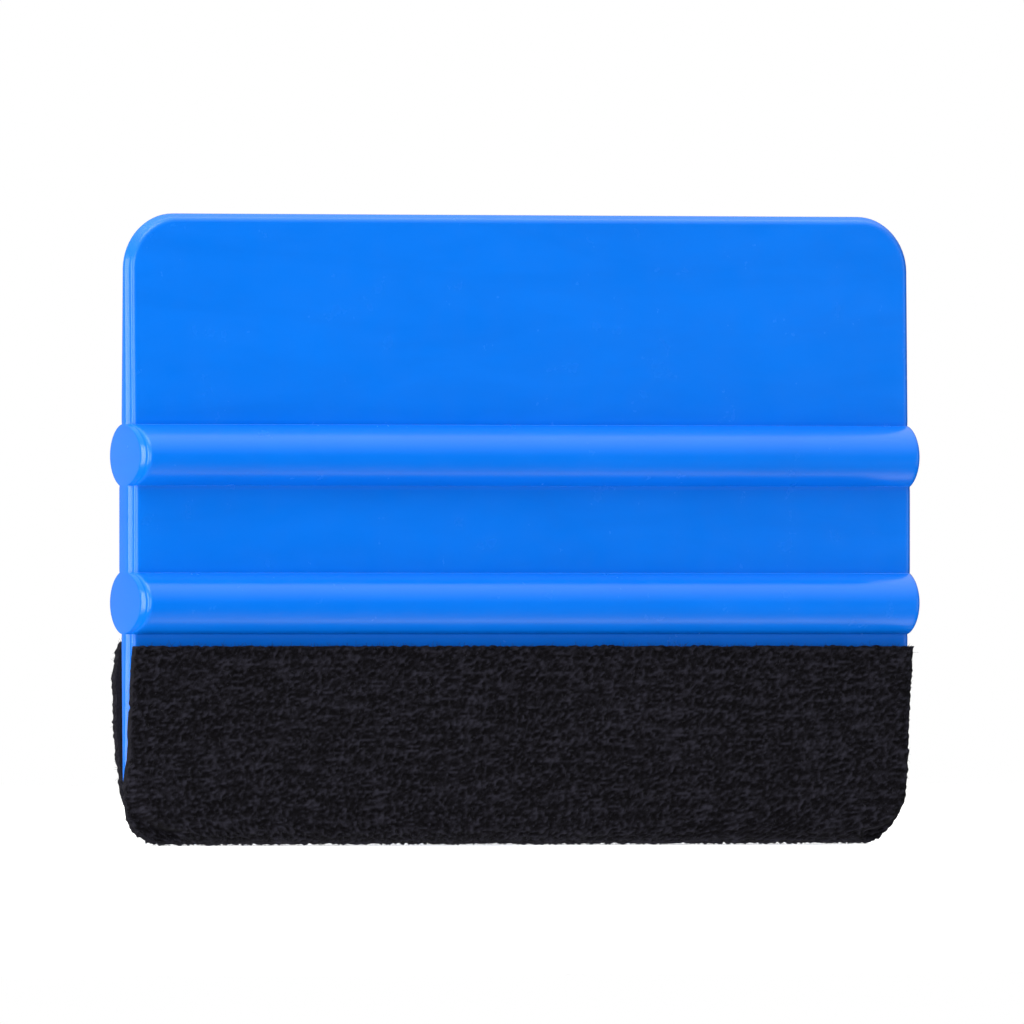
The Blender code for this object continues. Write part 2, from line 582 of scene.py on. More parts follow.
@dataclass
class CardSection:
    """The card's section: tapered blades, a flat land and two ribs of elliptical section."""

    height: float
    rib_thickness: float
    land_thickness: float
    edge_thickness: float = 2.4 * MM
    root_thickness: float = 3.2 * MM
    rib_width: float = 6.9 * MM
    rib_spacing: float = 17.0 * MM
    lower_rib: float = 26.4 * MM
    sink_depth: float = 0.06 * MM
    sink_width: float = 0.55 * MM
    sink_shares: Row = (0.0, 0.04, 0.2, 0.4, 0.6, 0.8, 1.0)
    rib_steps: int = 44
    points: np.ndarray = field(init=False)

    def __post_init__(self) -> None:
        """Work out the section's points once."""
        self.points = self.trace()

    def semi_axes(self) -> tuple[float, float]:
        """Find the rib's semi-axes.

        The rib is the ellipse (h / along)² + (y / across)² = 1 that is rib_width wide where y is
        half of the land's thickness.

        Returns:
            The semi-axis along the card's height, and the one across its thickness.
        """
        share = self.land_thickness / self.rib_thickness
        along = (self.rib_width / 2) / math.sqrt(1 - share**2)
        return along, self.rib_thickness / 2

    def reach(self, half: float) -> float:
        """Find how far from its centre a rib meets a face of this half thickness."""
        along, across = self.semi_axes()
        return along * math.sqrt(1 - (half / across) ** 2)

    def crease(self, height: float, half: float, side: float) -> np.ndarray:
        """Draw the shallow sink mark that a thick rib leaves in the face beside it.

        At a share t of the mark's width the half thickness is half - depth * (1-t)².

        Args:
            height: Height of the crease at the rib's foot.
            half: Half thickness of the face.
            side: -1 below the rib, or 1 above it.

        Returns:
            Rows of height and half thickness, from the crease outwards.
        """
        t = np.array(self.sink_shares)
        heights = height + side * self.sink_width * t
        return np.stack([heights, half - self.sink_depth * (1 - t) ** 2], axis=1)

    def rib(self, center: float, below: float, above: float) -> np.ndarray:
        """Trace one rib with the creases on both sides of it.

        The crown is center + along * sin(a), across * cos(a) as a sweeps from crease to crease.

        Args:
            center: Height of the rib's middle.
            below: Half thickness of the face under the rib.
            above: Half thickness of the face over it.

        Returns:
            Rows of height and half thickness.
        """
        along, across = self.semi_axes()
        low = center - self.reach(below - self.sink_depth)
        high = center + self.reach(above - self.sink_depth)
        first = math.asin((low - center) / along)
        last = math.asin((high - center) / along)
        sweep = np.linspace(first, last, self.rib_steps + 1)[1:-1]
        crown = np.stack([center + along * np.sin(sweep), across * np.cos(sweep)], axis=1)
        lower = self.crease(low, below, -1.0)[::-1]
        return np.concatenate([lower, crown, self.crease(high, above, 1.0)])

    def trace(self) -> np.ndarray:
        """Trace the whole section from the working edge to the top.

        Returns:
            Rows of height and half thickness.
        """
        edge, root, land = self.edge_thickness / 2, self.root_thickness / 2, self.land_thickness / 2
        ribs = (
            self.rib(self.lower_rib, root, land),
            self.rib(self.lower_rib + self.rib_spacing, land, root),
        )
        return np.concatenate([[(0.0, edge)], *ribs, [(self.height, edge)]])

    def half(self, height: np.ndarray) -> np.ndarray:
        """Find half of the card's thickness at heights above its working edge."""
        return np.interp(height, self.points[:, 0], self.points[:, 1])


@dataclass
class CardBody:
    """The one-piece moulded card, with a stepped and rounded rim carried round its outline."""

    section: CardSection
    width: float
    height: float
    lift: float
    corner: float = 6.4 * MM
    rim_step: float = 0.4 * MM
    rim_slope: float = 0.5 * MM
    rounding: float = 0.6 * MM
    wall_bend: float = 0.16 * MM
    foot_support: float = 0.04 * MM
    edge_support: float = 0.3 * MM
    rib_rim: float = 0.12
    rib_shrink: float = 0.25 * MM
    blade_spread: float = 0.16 * MM
    column_step: float = 1.7 * MM
    row_step: float = 1.6 * MM
    row_room: float = 0.4
    corner_steps: int = 16
    round_steps: int = 8
    bend_steps: int = 5

    @classmethod
    def from_frame(cls, frame: dict) -> "CardBody":
        """Take the card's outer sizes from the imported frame.


        Returns:
            The card, ready to build.
        """
        low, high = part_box("card_body")
        mounts = {mount["name"]: mount for mount in frame["record"]["mounts"]}
        land = 2 * abs(mounts["front_land"]["pos_m"][1])
        height = high.z - low.z
        section = CardSection(height=height, rib_thickness=high.y - low.y, land_thickness=land)
        return cls(section=section, width=high.x - low.x, height=height, lift=low.z)

    @property
    def rim_width(self) -> float:
        """How far the face's edge stands in from the side wall."""
        return self.rim_step + self.rounding

    def inset(self, edge_distance: np.ndarray) -> np.ndarray:
        """Find a rounded corner's pull at d from the edge: r - sqrt(r² - (r - d)²), or 0 past r."""
        away = self.corner - np.clip(edge_distance, 0.0, self.corner)
        return self.corner - np.sqrt(self.corner**2 - away**2)

    def rise(self, height: np.ndarray) -> np.ndarray:
        """Find the rib's rise over the land, as a share of its full rise.

        Args:
            height: Heights above the working edge.

        Returns:
            The share at each.
        """
        land = self.section.land_thickness / 2
        over = self.section.half(height) - land
        return np.clip(over / (self.section.rib_thickness / 2 - land), 0.0, 1.0)

    def levels(self) -> np.ndarray:
        """List the heights of the face's rows.

        They are the corner arcs, the section's own points, and even rows where both leave room.

        Returns:
            Rising heights above the working edge.
        """
        arc = self.corner * (1 - np.cos(np.linspace(0, math.pi / 2, self.corner_steps + 1)))
        needed = np.concatenate([arc, self.section.points[1:-1, 0], self.height - arc])
        even = np.arange(self.row_step, self.height, self.row_step)
        room = np.abs(even[:, None] - needed[None, :]).min(axis=1)
        room = room > self.row_room * self.row_step
        return np.sort(np.concatenate([needed, even[room]]))

    def columns(self) -> np.ndarray:
        """List the face's columns.

        Returns:
            Shares of the way out, from -1 at the left side to 1 at the right.
        """
        near = 1 - self.edge_support / (self.width / 2)
        count = int(self.width / self.column_step)
        return np.concatenate([[-1.0], np.linspace(-near, near, count), [1.0]])

    def face(self, inset: float) -> tuple[np.ndarray, np.ndarray]:
        """Lay out the face, moved in from the outline.

        At height h the side is at x = W/2 + spread - inset(h) - shrink * rise(h), since the thick
        ribs draw in as they cool. It moves in by inset times the outward direction, and a column
        takes its share of that x.

        Args:
            inset: How far the face's edge stands in from the outline.

        Returns:
            The x and the height of each point, as rows by columns.
        """
        levels = self.levels()
        side = self.width / 2 - self.inset(np.minimum(levels, self.height - levels))
        side = side + self.blade_spread - self.rib_shrink * self.rise(levels)
        out_x = np.maximum(side - (self.width / 2 - self.corner), 0.0)
        out_h = levels - np.clip(levels, self.corner, self.height - self.corner)
        length = np.hypot(out_x, out_h)
        x = (side - inset * out_x / length)[:, None] * self.columns()[None, :]
        height = np.broadcast_to((levels - inset * out_h / length)[:, None], x.shape)
        return x, height

    def rim(self) -> np.ndarray:
        """Trace the rim from the face's edge out to the side wall.

        A quarter circle of the rounding's radius drops from the face, a slope steps out to the
        wall, and its two corners are softened with the curve (1-t)² a + 2t(1-t) b + t² c.

        Returns:
            Rows of inset from the side and drop from the face.
        """
        angle = np.linspace(math.pi / 2, 0, self.round_steps)
        arc = np.stack(
            [
                self.rim_step + self.rounding * (1 - np.cos(angle)),
                self.rounding * (1 - np.sin(angle)),
            ],
            axis=1,
        )
        foot = np.array([self.rim_step, self.rounding])
        wall = np.array([0.0, self.rounding + self.rim_slope])
        slope = (wall - foot) / np.linalg.norm(wall - foot)
        before = wall - slope * self.wall_bend
        after = wall + np.array([0.0, self.wall_bend])
        t = np.linspace(0, 1, self.bend_steps)[:, None]
        bend = (1 - t) ** 2 * before + 2 * t * (1 - t) * wall + t**2 * after
        return np.concatenate([arc, [foot + slope * self.foot_support], bend])

    def points_of(self, x: np.ndarray, height: np.ndarray, drop: float, flap: Flap) -> np.ndarray:
        """Place points of one face at a depth below it.

        The rim is softer at the ribs' ends: there the drop grows by rib_rim times the rib's
        share of its full rise over the land.

        Args:
            x: Where they are along the card.
            height: Their heights above the working edge.
            drop: How far they lie below the face.
            flap: Which face.

        Returns:
            Positions, three numbers to a point.
        """
        drop = drop * (1 + self.rib_rim * self.rise(height))
        y = flap.value * (self.section.half(height) - drop)
        return np.stack([x.ravel(), y.ravel(), height.ravel() + self.lift], axis=1)

    def build(self) -> bpy.types.Object:
        """Build the card: two face grids, with the rim's rings from one to the other.

        Returns:
            The card's object.
        """
        rim = self.rim()
        x, height = self.face(rim[0, 0])
        border = border_loop(*x.shape)
        blocks = [self.points_of(x, height, 0.0, Flap.FRONT)]
        for flap, profile in ((Flap.FRONT, rim[1:]), (Flap.REAR, rim[:0:-1])):
            for inset, drop in profile:
                ring_x, ring_height = (part.ravel()[border] for part in self.face(inset))
                blocks.append(self.points_of(ring_x, ring_height, drop, flap))
        blocks.append(self.points_of(x, height, 0.0, Flap.REAR))
        faces = shell_faces(x.shape, x.shape, len(blocks) - 2, False)
        material = SatinPolypropylene().material()
        card = mesh_piece("moulded_card", material, np.concatenate(blocks), *faces)
        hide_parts("card_body")
        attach(card, "root")
        return card


# ---- The folded strip ----


@dataclass
class FoldedForm:
    """The surface that everything wrapped round the working edge follows.

    It runs down the front, round the edge and up the rear. A point on it has a place x along the
    card, a distance s down the strip from its front top, and a depth below the felt's outside.
    The trimmed sides are listed in millimetres from the card's middle, at heights in millimetres.
    """

    card: CardBody
    front_top: float
    rear_top: float
    outside: float = 1.7 * MM
    thickness: float = 1.4 * MM
    spare: float = 1.5 * MM
    close_inside: float = 1.0 * MM
    close_width: float = 2.2 * MM
    close_top: float = 11.0 * MM
    close_fade: float = 5.0 * MM
    close_gap: float = 0.06 * MM
    close_share: float = 0.9
    least_left: float = 0.02 * MM
    heights: Row = (0.0, 1.0, 2.0, 3.1, 4.8, 7.5, 10.3, 14.5, 20.0, 22.4, 23.6)
    front_left: Row = (47.2, 48.7, 50.0, 50.7, 51.0, 51.3, 51.3, 51.2, 51.0, 50.8, 50.7)
    front_right: Row = (45.9, 47.4, 48.4, 49.0, 49.4, 49.7, 49.8, 49.9, 50.2, 50.3, 50.3)
    rear_left: Row = (47.2, 48.6, 49.6, 50.0, 50.1, 50.3, 50.6, 50.9, 50.9, 50.5, 49.9)
    rear_right: Row = (45.9, 47.3, 48.4, 49.2, 49.9, 50.3, 50.5, 50.7, 50.8, 50.7, 50.4)
    flap_steps: int = 160
    turn_steps: int = 60
    flat_steps: int = 400
    path: np.ndarray = field(init=False)
    length: float = field(init=False)
    turn: float = field(init=False)

    def __post_init__(self) -> None:
        """Trace the path once, and measure it."""
        self.trace()

    def trace(self) -> None:
        """Trace the strip's outside as rows of s, y, z and its outward direction.

        The flaps stand the outside distance off the blade, as if the ribs weren't there. The
        fold is two quarter circles about points a rim's width inside the card's working edge.
        """
        rim = self.card.rim_width
        radius = rim + self.outside
        lift = self.card.lift
        middle = float(self.card.section.half(np.array(rim))) - rim
        front = np.linspace(self.front_top + self.spare, lift + rim, self.flap_steps)
        rear = np.linspace(lift + rim, self.rear_top + self.spare, self.flap_steps)
        angle = np.linspace(0, math.pi / 2, self.turn_steps)[1:-1]
        blade = self.card.section.root_thickness / 2
        y = np.concatenate(
            [
                -np.minimum(self.card.section.half(front - lift), blade) - self.outside,
                -middle - radius * np.cos(angle),
                middle + radius * np.sin(angle),
                np.minimum(self.card.section.half(rear - lift), blade) + self.outside,
            ]
        )
        z = np.concatenate(
            [
                front,
                lift + rim - radius * np.sin(angle),
                lift + rim - radius * np.cos(angle),
                rear,
            ]
        )
        s = np.concatenate([[0.0], np.cumsum(np.hypot(np.diff(y), np.diff(z)))])
        run_y, run_z = np.gradient(y, s), np.gradient(z, s)
        size = np.hypot(run_y, run_z)
        self.path = np.stack([s - self.spare, y, z, run_z / size, -run_y / size])
        self.length = float(s[-1]) - 2 * self.spare
        self.turn = float(np.interp(0.0, y, s)) - self.spare

    def level(self, s: np.ndarray) -> np.ndarray:
        """Find the height of the strip's outside at distances down it."""
        return np.interp(s, self.path[0], self.path[2])

    def sides(self, s: np.ndarray, setback: float = 0.0) -> tuple[np.ndarray, np.ndarray]:
        """Find the strip's two side edges, as they were trimmed along the card.

        Args:
            s: Distances down the strip.
            setback: How far inside the felt's edge to stay.

        Returns:
            The x of the left edge and of the right edge.
        """
        level = self.level(s)
        known = np.array(self.heights) * MM
        front = s < self.turn
        left, right = (
            np.where(front, *(np.interp(level, known, np.array(edge) * MM) for edge in pair))
            for pair in ((self.front_left, self.rear_left), (self.front_right, self.rear_right))
        )
        return setback - left, right - setback

    def place(self, x: np.ndarray, s: np.ndarray, depth: np.ndarray) -> np.ndarray:
        """Place points on the strip.

        A point is the path's point at s, less depth times the outward direction. Past the card's
        rounded lower corners the two flaps close on each other: there y eases to the sum of a
        hair's gap and the felt left below the point.

        Args:
            x: Places along the card.
            s: Distances down the strip.
            depth: Depths below the felt's outside.

        Returns:
            Positions, three numbers to a point.
        """
        y, z, out_y, out_z = (np.interp(s, self.path[0], row) for row in self.path[1:])
        y, z = y - depth * out_y, z - depth * out_z
        above = np.clip(z - self.card.lift, 0.0, None)
        edge = self.card.width / 2 - self.card.inset(above)
        past = smooth_step((np.abs(x) - edge + self.close_inside) / self.close_width)
        low = smooth_step((self.close_top - z) / self.close_fade)
        left_over = np.clip(self.thickness - depth, self.least_left, None)
        closed = np.sign(y) * (self.close_gap + self.close_share * left_over)
        share = np.where(np.abs(y) > np.abs(closed), past * low, 0.0)
        y = y + (closed - y) * share
        return np.stack([x, y, z], axis=-1)


@dataclass
class TapeFilm:
    """The adhesive film between the card and the felt."""

    form: FoldedForm
    top: float = 1.45 * MM
    bottom: float = 1.64 * MM
    setback: float = 0.5 * MM
    card_margin: float = 2.1 * MM
    step: float = 0.8 * MM

    def build(self) -> bpy.types.Object:
        """Build the film as a thin closed shell.

        Its two faces are the folded form at two depths. It stays inside the felt's sides, and
        far enough inside the card's rounded outline to end before the flaps close.

        Returns:
            The film's object.
        """
        form = self.form
        s = np.linspace(self.setback, form.length - self.setback, int(form.length / self.step))
        left, right = form.sides(s, self.setback)
        above = np.clip(form.level(s) - form.card.lift, 0.0, None)
        most = form.card.width / 2 - form.card.inset(above) - self.card_margin
        left, right = np.maximum(left, -most), np.minimum(right, most)
        share = np.linspace(0, 1, int(form.card.width / (2 * self.step)))
        x = left[:, None] + (right - left)[:, None] * share
        s = np.broadcast_to(s[:, None], x.shape)
        points = [
            form.place(x, s, np.full(x.shape, depth)).reshape(-1, 3)
            for depth in (self.top, self.bottom)
        ]
        faces = shell_faces(x.shape, x.shape, 0, True)
        tape = mesh_piece("adhesive_film", ADHESIVE.material(), np.concatenate(points), *faces)
        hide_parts("adhesive_tape")
        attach(tape, "root")
        return tape


@dataclass
class FeltStrip:
    """The strip of brushed felt folded over the working edge, with its tufts and cut edges."""

    form: FoldedForm
    step: float = 0.25 * MM
    inner_ratio: int = 4
    tuft_depth: float = 0.34 * MM
    fold_boost: float = 0.5
    row_pitch: float = 1.55 * MM
    curl_size: float = 0.68 * MM
    curl_waves: tuple[float, float] = (2.0, 1.25)
    curl_stretch: tuple[float, float] = (2.0, 1.7)
    curl_band: float = 0.6
    curl_weights: tuple[float, float] = (0.42, 0.34)
    knot_size: float = 0.60 * MM
    knot_stretch: float = 1.4
    knot_weight: float = 0.13
    row_weight: float = 0.09
    drift_size: float = 9 * MM
    drift_stretch: float = 2.5
    drift_turn: float = 1.3
    slow_spread: float = 0.6
    edge_wave: float = 0.05 * MM
    knife_waves: tuple[tuple[float, float], ...] = ((1.1 * MM, 1.0), (4.5 * MM, 0.6))
    edge_rows: int = 8
    fold_spread: float = 3.5 * MM
    shade_power: float = 1.9
    cut_rings: tuple[tuple[float, float], ...] = ((0.06, 0.224), (0.08, 0.496), (0.05, 0.8))
    cut_roughness: float = 0.02 * MM
    cut_shade: tuple[float, float] = (0.2, 0.5)
    inner_shade: float = 0.3
    seed: int = 41
    stations: np.ndarray = field(init=False)
    shares: np.ndarray = field(init=False)
    relief: np.ndarray = field(init=False)

    def __post_init__(self) -> None:
        """Lay out the strip's grid and its relief."""
        rows = self.inner_ratio * round(self.form.length / self.step / self.inner_ratio)
        columns = self.inner_ratio * round(self.form.card.width / self.step / self.inner_ratio)
        self.stations = np.linspace(0, self.form.length, rows + 1)
        self.shares = np.linspace(0, 1, columns + 1)
        self.relief = self.tufts((rows + 1, columns + 1))

    def tufts(self, shape: tuple[int, int]) -> np.ndarray:
        """Work out the brushed face's relief, from 0 in a pit to 1 on a tuft.

        Curled tufts run where a random field n passes through 0, as exp(-(n / 0.6)²). A finer
        field adds knots, and a cosine of s with a wandering phase adds the needling rows.

        Args:
            shape: Rows and columns of the grid.

        Returns:
            The relief, as rows by columns.
        """
        rng = np.random.default_rng(self.seed)
        curls, finer = (
            band_noise(rng, shape, self.step, self.curl_size * waves, stretch)
            for waves, stretch in zip(self.curl_waves, self.curl_stretch)
        )
        knots = band_noise(rng, shape, self.step, self.knot_size, self.knot_stretch)
        drift = band_noise(
            rng, shape, self.step, self.drift_size, self.drift_stretch, self.slow_spread
        )
        turn = 2 * math.pi * self.stations[:, None] / self.row_pitch
        rows = np.cos(turn + self.drift_turn * drift)
        total = (
            self.curl_weights[0] * np.exp(-((curls / self.curl_band) ** 2))
            + self.curl_weights[1] * np.exp(-((finer / self.curl_band) ** 2))
            + self.knot_weight * knots
            + self.row_weight * rows
        )
        low, high = np.percentile(total, (2, 98))
        return np.clip((total - low) / (high - low), 0.0, 1.0)

    def plan(self) -> tuple[np.ndarray, np.ndarray]:
        """Lay out the outside grid, with the slightly wavy line of the knife along its edges.

        Returns:
            The x and the s of each point, as rows by columns.
        """
        rng = np.random.default_rng(self.seed + 1)
        rows, columns = len(self.stations), len(self.shares)
        left, right = self.form.sides(self.stations)
        x = left[:, None] + (right - left)[:, None] * self.shares
        s = np.broadcast_to(self.stations[:, None], x.shape).copy()
        near = self.edge_rows
        fade = smooth_step(1 - np.arange(near) / near)
        for wavelength, share in self.knife_waves:
            size = share * self.edge_wave
            ends, sides = (
                [
                    band_noise(rng, (1, count), self.step, wavelength, width=self.slow_spread)[0]
                    for _ in range(2)
                ]
                for count in (columns, rows)
            )
            s[:near] += fade[:, None] * (size * ends[0])
            s[-near:] += fade[::-1, None] * (size * ends[1])
            x[:, :near] += fade * (size * sides[0])[:, None]
            x[:, -near:] += fade[::-1] * (size * sides[1])[:, None]
        return x, s

    def depths(self) -> np.ndarray:
        """Find the outside's depth at each point.

        It is tuft_depth times (1 - relief), more round the fold, where the felt is stretched
        open and its tufts stand apart.

        Returns:
            Depths, as rows by columns.
        """
        off = (self.stations - self.form.turn) / self.fold_spread
        boost = 1 + self.fold_boost * np.exp(-(off**2))
        return self.tuft_depth * boost[:, None] * (1 - self.relief)

    def build(self) -> bpy.types.Object:
        """Build the strip: a fine outside, cut edges carried round it, and a coarser inside.

        Each ring of the cut edge stands out by some millimetres, give or take its roughness, at
        a share of the way from the outside to the inside.

        Returns:
            The felt's object.
        """
        rng = np.random.default_rng(self.seed + 2)
        x, s = self.plan()
        depth = self.depths()
        border = border_loop(*x.shape)
        out_x = np.zeros(x.shape)
        out_s = np.zeros(x.shape)
        out_x[:, 0], out_x[:, -1] = -1.0, 1.0
        out_s[0, :], out_s[-1, :] = -1.0, 1.0
        length = np.maximum(np.hypot(out_x, out_s), 1e-9)
        out_x, out_s = (out_x / length).ravel()[border], (out_s / length).ravel()[border]
        edge_x, edge_s, edge_depth = (part.ravel()[border] for part in (x, s, depth))
        blocks = [self.form.place(x, s, depth).reshape(-1, 3)]
        # Painted shade: the tufts' relief, raised to a power, darkens the pits in the felt's
        # colour.
        shades = [self.relief.ravel() ** self.shade_power]
        for outward, down in self.cut_rings:
            rough = outward * MM + self.cut_roughness * rng.standard_normal(len(border))
            below = edge_depth + (self.form.thickness - edge_depth) * down
            blocks.append(self.form.place(edge_x + out_x * rough, edge_s + out_s * rough, below))
            shades.append(self.cut_shade[0] + self.cut_shade[1] * rng.random(len(border)))
        ratio = self.inner_ratio
        coarse_x, coarse_s = x[::ratio, ::ratio], s[::ratio, ::ratio]
        under = np.full(coarse_x.shape, self.form.thickness)
        blocks.append(self.form.place(coarse_x, coarse_s, under).reshape(-1, 3))
        shades.append(np.full(under.size, self.inner_shade))
        faces = shell_faces(x.shape, under.shape, len(self.cut_rings), True)
        felt = mesh_piece("felt_strip", BrushedFelt().material(), np.concatenate(blocks), *faces)
        shade = felt.data.attributes.new("tuft", "FLOAT", "POINT")
        shade.data.foreach_set("value", np.concatenate(shades).astype(np.float32))
        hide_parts("felt_wrap")
        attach(felt, "root")
        return felt


@dataclass
class FeltFuzz:
    """Loose fibres that stand out of the felt's cut edges, its fold and its faces.

    The real fibres are near 0.03 mm thick, and are drawn at about 0.04 mm so that they show.
    """

    form: FoldedForm
    radius: float = 0.022 * MM
    shortest: float = 0.10 * MM
    longest: float = 0.30 * MM
    top_edges: int = 2400
    side_edges: int = 260
    fold: int = 1500
    faces: int = 3000
    steps: int = 4
    edge_band: float = 0.25 * MM
    edge_depth: float = 0.9 * MM
    side_share: float = 0.002
    fold_spread: float = 1.5 * MM
    fold_depth: float = 0.15 * MM
    face_depth: float = 0.12 * MM
    probe: float = 0.05 * MM
    lean_out: float = 0.45
    lean_aside: float = 0.75
    lean_spread: float = 0.25
    curl_spread: float = 0.7
    curl_back: float = 0.35
    taper: float = 0.6
    floor_gap: float = 1.5
    seed: int = 57

    def roots(self, rng: np.random.Generator) -> tuple[np.ndarray, ...]:
        """Scatter the fibres' roots, with how far each group leans outwards.

        Args:
            rng: The seeded generator.

        Returns:
            The x, s and depth of each root, its outward pull along x and along s, and its length.
        """
        form = self.form
        groups = []
        for at_end, count in ((False, self.top_edges // 2), (True, self.top_edges // 2)):
            away = rng.random(count) * self.edge_band
            s = form.length - away if at_end else away
            share = rng.random(count)
            pull = np.full(count, 1.0 if at_end else -1.0)
            groups.append((share, s, rng.random(count) * self.edge_depth, 0 * pull, pull))
        for side in (-1.0, 1.0):
            count = self.side_edges // 2
            share = 0.5 + side * (0.5 - self.side_share * rng.random(count))
            s = rng.random(count) * form.length
            depth = rng.random(count) * self.edge_depth
            groups.append((share, s, depth, np.full(count, side), 0 * s))
        s = form.turn + rng.normal(0, self.fold_spread, self.fold)
        groups.append((rng.random(self.fold), s, self.fold_depth + 0 * s, 0 * s, 0 * s))
        s = rng.random(self.faces) * form.length
        groups.append((rng.random(self.faces), s, self.face_depth + 0 * s, 0 * s, 0 * s))
        share, s, depth, pull_x, pull_s = (np.concatenate(part) for part in zip(*groups))
        left, right = form.sides(s)
        length = self.shortest + (self.longest - self.shortest) * rng.random(len(s))
        return left + (right - left) * share, s, depth, pull_x, pull_s, length

    def build(self) -> bpy.types.Object:
        """Build the fibres as thin three-sided tubes, closed at both ends.

        A fibre's line is root + L * (t * a + t² * b), for a start direction a and a curl b. Its
        radius falls as 1 - taper * t, and it stays just above the floor.

        Returns:
            The fibres' object.
        """
        rng = np.random.default_rng(self.seed)
        x, s, depth, pull_x, pull_s, length = self.roots(rng)
        count = len(x)
        root = self.form.place(x, s, depth)
        along = self.form.place(x, s + self.probe, depth) - root
        along /= np.linalg.norm(along, axis=1, keepdims=True)
        across = np.broadcast_to(np.array([1.0, 0.0, 0.0]), along.shape)
        out = np.cross(along, across)
        edge = (np.abs(pull_x) + np.abs(pull_s))[:, None]
        angle = rng.random(count) * 2 * math.pi
        swirl = np.cos(angle)[:, None] * across + np.sin(angle)[:, None] * along
        start = edge * (pull_x[:, None] * across + pull_s[:, None] * along)
        start = start + (1 - edge) * self.lean_out * out + self.lean_aside * swirl
        start += self.lean_spread * rng.standard_normal(start.shape)
        curl = self.curl_spread * rng.standard_normal(start.shape)
        curl -= self.curl_back * out * (1 - edge)
        t = np.linspace(0, 1, self.steps)[None, :, None]
        line = root[:, None] + length[:, None, None] * (t * start[:, None] + t**2 * curl[:, None])
        run = start[:, None] + 2 * t * curl[:, None]
        run /= np.linalg.norm(run, axis=2, keepdims=True)
        first = np.cross(run, rng.standard_normal((count, 1, 3)))
        first /= np.linalg.norm(first, axis=2, keepdims=True)
        second = np.cross(run, first)
        turn = (np.arange(3) * 2 * math.pi / 3)[None, None, :, None]
        ring = np.cos(turn) * first[:, :, None] + np.sin(turn) * second[:, :, None]
        radius = self.radius * (1 - self.taper * t)[..., None]
        line[..., 2] = np.maximum(line[..., 2], self.floor_gap * self.radius)
        points = (line[:, :, None] + radius * ring).reshape(-1, 3)
        index = np.arange(count * self.steps * 3).reshape(count, self.steps, 3)
        after = np.roll(index, -1, axis=2)
        quads = np.stack(
            [index[:, :-1], after[:, :-1], after[:, 1:], index[:, 1:]], axis=-1
        ).reshape(-1, 4)
        caps = np.concatenate([index[:, 0, ::-1], index[:, -1]])
        fuzz = mesh_piece("felt_fuzz", LOOSE_FIBRE.material(), points, quads, caps)
        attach(fuzz, "root")
        return fuzz


# ---- The studio ----


@dataclass(frozen=True)
class Softbox:
    """One soft light: a flat panel of even brightness that faces the object.

    One that isn't in_gloss lights surfaces without showing as a highlight in them.
    """

    name: str
    azimuth: float
    elevation: float
    distance: float
    width: float
    height: float
    brightness: float
    in_gloss: bool = True

    def build(self, target: Vector) -> bpy.types.Object:
        """Place the panel on a sphere round its target, and turn it to face it.

        Its power is brightness times pi times its area, which makes each point of it that
        bright.

        Args:
            target: The point that the panel faces.

        Returns:
            The light's object.
        """
        data = bpy.data.lights.new(self.name, "AREA")
        data.shape = "RECTANGLE"
        data.size, data.size_y = self.width, self.height
        data.energy = self.brightness * math.pi * self.width * self.height
        light = bpy.data.objects.new(self.name, data)
        a, e = math.radians(self.azimuth), math.radians(self.elevation)
        away = Vector((math.sin(a) * math.cos(e), -math.cos(a) * math.cos(e), math.sin(e)))
        light.visible_camera = False
        light.visible_glossy = self.in_gloss
        put_facing(light, target + away * self.distance, target)
        return light


